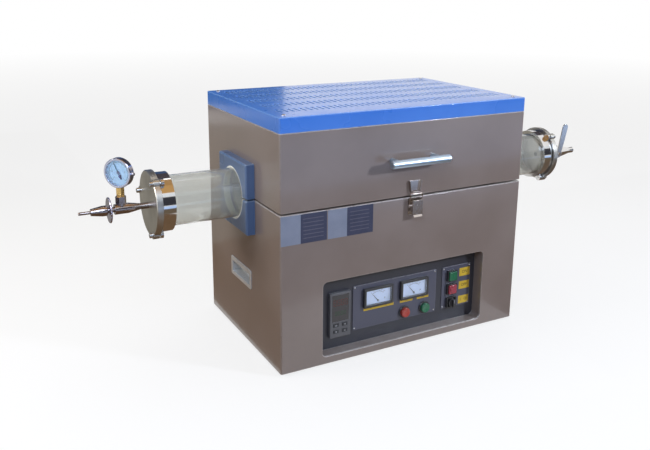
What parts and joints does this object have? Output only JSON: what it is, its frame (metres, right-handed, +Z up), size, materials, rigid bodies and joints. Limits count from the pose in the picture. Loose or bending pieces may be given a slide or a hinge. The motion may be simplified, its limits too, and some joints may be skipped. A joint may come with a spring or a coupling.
{
  "type": "tube furnace",
  "caption": "Bench tube furnace with a hinged lid, a quartz work tube with sealing flanges, gas valves, a pressure gauge and a recessed control panel.",
  "frame": {"origin": "on the floor under the middle of the whole object's box", "axes": "+X along the work tube towards the outlet valve, +Y towards the rear, +Z up"},
  "size_m": [1.24, 0.436, 0.508],
  "materials": {
    "black_plastic": "black moulding",
    "brass_fitting": "turned brass",
    "bright_plate": "bright nickel plate",
    "brushed_stainless": "brushed stainless steel",
    "casing_paint": "warm grey stoved enamel, satin",
    "clear_glass": "clear glazing",
    "collar_paint": "slate-blue stoved enamel, satin",
    "cover_paint": "blue stoved enamel, satin",
    "dial_card": "printed dial",
    "fascia_print": "grey printed plate, satin",
    "fibre_board": "vacuum-formed ceramic fibre, off-white",
    "foot_rubber": "black rubber",
    "galvanised": "zinc-plated sheet",
    "gauge_plate": "bright plated gauge case",
    "green_plastic": "green cap",
    "grey_plastic": "grey moulding",
    "handwheel_plastic": "dark moulding with a pale rim",
    "heater_ceramic": "moulded fibre half shell",
    "heatsink_aluminium": "extruded",
    "key_rubber": "moulded key",
    "lever_steel": "lever with a dark dipped grip",
    "oring_rubber": "silicone rubber",
    "panel_paint": "charcoal enamel, matt",
    "pointer_black": "black pointer",
    "polished_steel": "polished stainless steel",
    "probe_ceramic": "thermocouple sheath",
    "quartz": "clear fused quartz",
    "red_plastic": "red cap",
    "resistance_wire": "oxidised heating alloy",
    "satin_aluminium": "satin anodised"
  },
  "bodies": {
    "base": {"lower_casing": "casing_paint", "base_plate": "galvanised", "rubber_feet": "foot_rubber", "lower_deck": "galvanised", "lower_insulation": "fibre_board", "lower_heater_shell": "heater_ceramic", "lower_heating_coils": "resistance_wire", "lower_collar_plates": "collar_paint", "lower_hinge_leaves": "brushed_stainless", "hinge_pins": "bright_plate", "quartz_tube": "quartz", "thermocouple": "probe_ceramic", "flange_collars": "polished_steel", "flange_covers": "polished_steel", "flange_orings": "oring_rubber", "flange_screws": "bright_plate", "inlet_tee": "polished_steel", "gauge_stem": "brass_fitting", "gauge_case": "gauge_plate", "needle_valve": "bright_plate", "ball_valve": "polished_steel", "control_tray": "casing_paint", "control_panel": "panel_paint", "fascia_plates": "fascia_print", "controller_case": "grey_plastic", "meter_cases": "black_plastic", "instrument_dials": "dial_card", "instrument_glass": "clear_glass", "button_bezels": "black_plastic", "side_handles": "bright_plate", "latch_base": "bright_plate", "cable_gland": "black_plastic", "power_relay": "heatsink_aluminium"},
    "lid": {"lid_shell": "casing_paint", "top_cover": "cover_paint", "cover_screws": "bright_plate", "upper_insulation": "fibre_board", "upper_heater_shell": "heater_ceramic", "upper_heating_coils": "resistance_wire", "upper_collar_plates": "collar_paint", "upper_hinge_leaves": "brushed_stainless", "lid_handle": "satin_aluminium", "latch_strike": "bright_plate"},
    "latch_lever": {"latch_lever": "bright_plate"},
    "latch_bail": {"latch_bail": "bright_plate"},
    "gauge_pointer": {"gauge_pointer": "pointer_black"},
    "handwheel": {"handwheel": "handwheel_plastic"},
    "valve_lever": {"valve_lever": "lever_steel"},
    "voltmeter_pointer": {"voltmeter_pointer": "pointer_black"},
    "ammeter_pointer": {"ammeter_pointer": "pointer_black"},
    "stop_button": {"stop_button": "red_plastic"},
    "start_button": {"start_button": "green_plastic"},
    "heat_on_button": {"heat_on_button": "green_plastic"},
    "heat_off_button": {"heat_off_button": "red_plastic"},
    "selector_knob": {"selector_knob": "black_plastic"},
    "controller_key_1": {"controller_key_1": "key_rubber"},
    "controller_key_2": {"controller_key_2": "key_rubber"},
    "controller_key_3": {"controller_key_3": "key_rubber"},
    "controller_key_4": {"controller_key_4": "key_rubber"}
  },
  "joints": [
    {"name": "lid_hinge", "type": "hinge", "parent": "base", "child": "lid", "pos_m": [-0.0145, 0.2024, 0.32575], "axis": [-1, 0, 0], "range_deg": [0, 90]},
    {"name": "latch_lever_pivot", "type": "hinge", "parent": "base", "child": "latch_lever", "pos_m": [-0.0065, -0.189, 0.318], "axis": [-1, 0, 0], "range_deg": [0, 90]},
    {"name": "latch_bail_pivot", "type": "hinge", "parent": "latch_lever", "child": "latch_bail", "pos_m": [-0.0065, -0.1849, 0.308], "axis": [-1, 0, 0], "range_deg": [-90, 0]},
    {"name": "gauge_pointer_turn", "type": "hinge", "parent": "base", "child": "gauge_pointer", "pos_m": [-0.5415, 0.008, 0.39175], "axis": [0.7193, 0.6947, 0], "range_deg": [-108, 162]},
    {"name": "handwheel_turn", "type": "hinge", "parent": "base", "child": "handwheel", "pos_m": [-0.5655, 0.008, 0.32175], "axis": [1, 0, 0], "range_deg": [0, 720]},
    {"name": "valve_lever_turn", "type": "hinge", "parent": "base", "child": "valve_lever", "pos_m": [0.5505, -0.0095, 0.32175], "axis": [0, 1, 0], "range_deg": [0, 75]},
    {"name": "voltmeter_pointer_turn", "type": "hinge", "parent": "base", "child": "voltmeter_pointer", "pos_m": [-0.0695, -0.1535, 0.1045], "axis": [0, 1, 0], "range_deg": [0, 80]},
    {"name": "ammeter_pointer_turn", "type": "hinge", "parent": "base", "child": "ammeter_pointer", "pos_m": [0.0195, -0.1535, 0.1045], "axis": [0, 1, 0], "range_deg": [0, 80]},
    {"name": "stop_button_press", "type": "slide", "parent": "base", "child": "stop_button", "axis": [0, 1, 0], "range_m": [0, 0.004], "stiffness_N_per_m": 400},
    {"name": "start_button_press", "type": "slide", "parent": "base", "child": "start_button", "axis": [0, 1, 0], "range_m": [0, 0.004], "stiffness_N_per_m": 400},
    {"name": "heat_on_button_press", "type": "slide", "parent": "base", "child": "heat_on_button", "axis": [0, 1, 0], "range_m": [0, 0.0025], "stiffness_N_per_m": 400},
    {"name": "heat_off_button_press", "type": "slide", "parent": "base", "child": "heat_off_button", "axis": [0, 1, 0], "range_m": [0, 0.0025], "stiffness_N_per_m": 400},
    {"name": "selector_turn", "type": "hinge", "parent": "base", "child": "selector_knob", "pos_m": [0.1185, -0.1535, 0.063], "axis": [0, 1, 0], "range_deg": [0, 90]},
    {"name": "controller_key_1_press", "type": "slide", "parent": "base", "child": "controller_key_1", "axis": [0, 1, 0], "range_m": [0, 0.0007], "stiffness_N_per_m": 300},
    {"name": "controller_key_2_press", "type": "slide", "parent": "base", "child": "controller_key_2", "axis": [0, 1, 0], "range_m": [0, 0.0007], "stiffness_N_per_m": 300},
    {"name": "controller_key_3_press", "type": "slide", "parent": "base", "child": "controller_key_3", "axis": [0, 1, 0], "range_m": [0, 0.0007], "stiffness_N_per_m": 300},
    {"name": "controller_key_4_press", "type": "slide", "parent": "base", "child": "controller_key_4", "axis": [0, 1, 0], "range_m": [0, 0.0007], "stiffness_N_per_m": 300}
  ],
  "couplings": [
    {"joint": "latch_bail_pivot", "follows": "latch_lever_pivot", "ratio": -1}
  ]
}
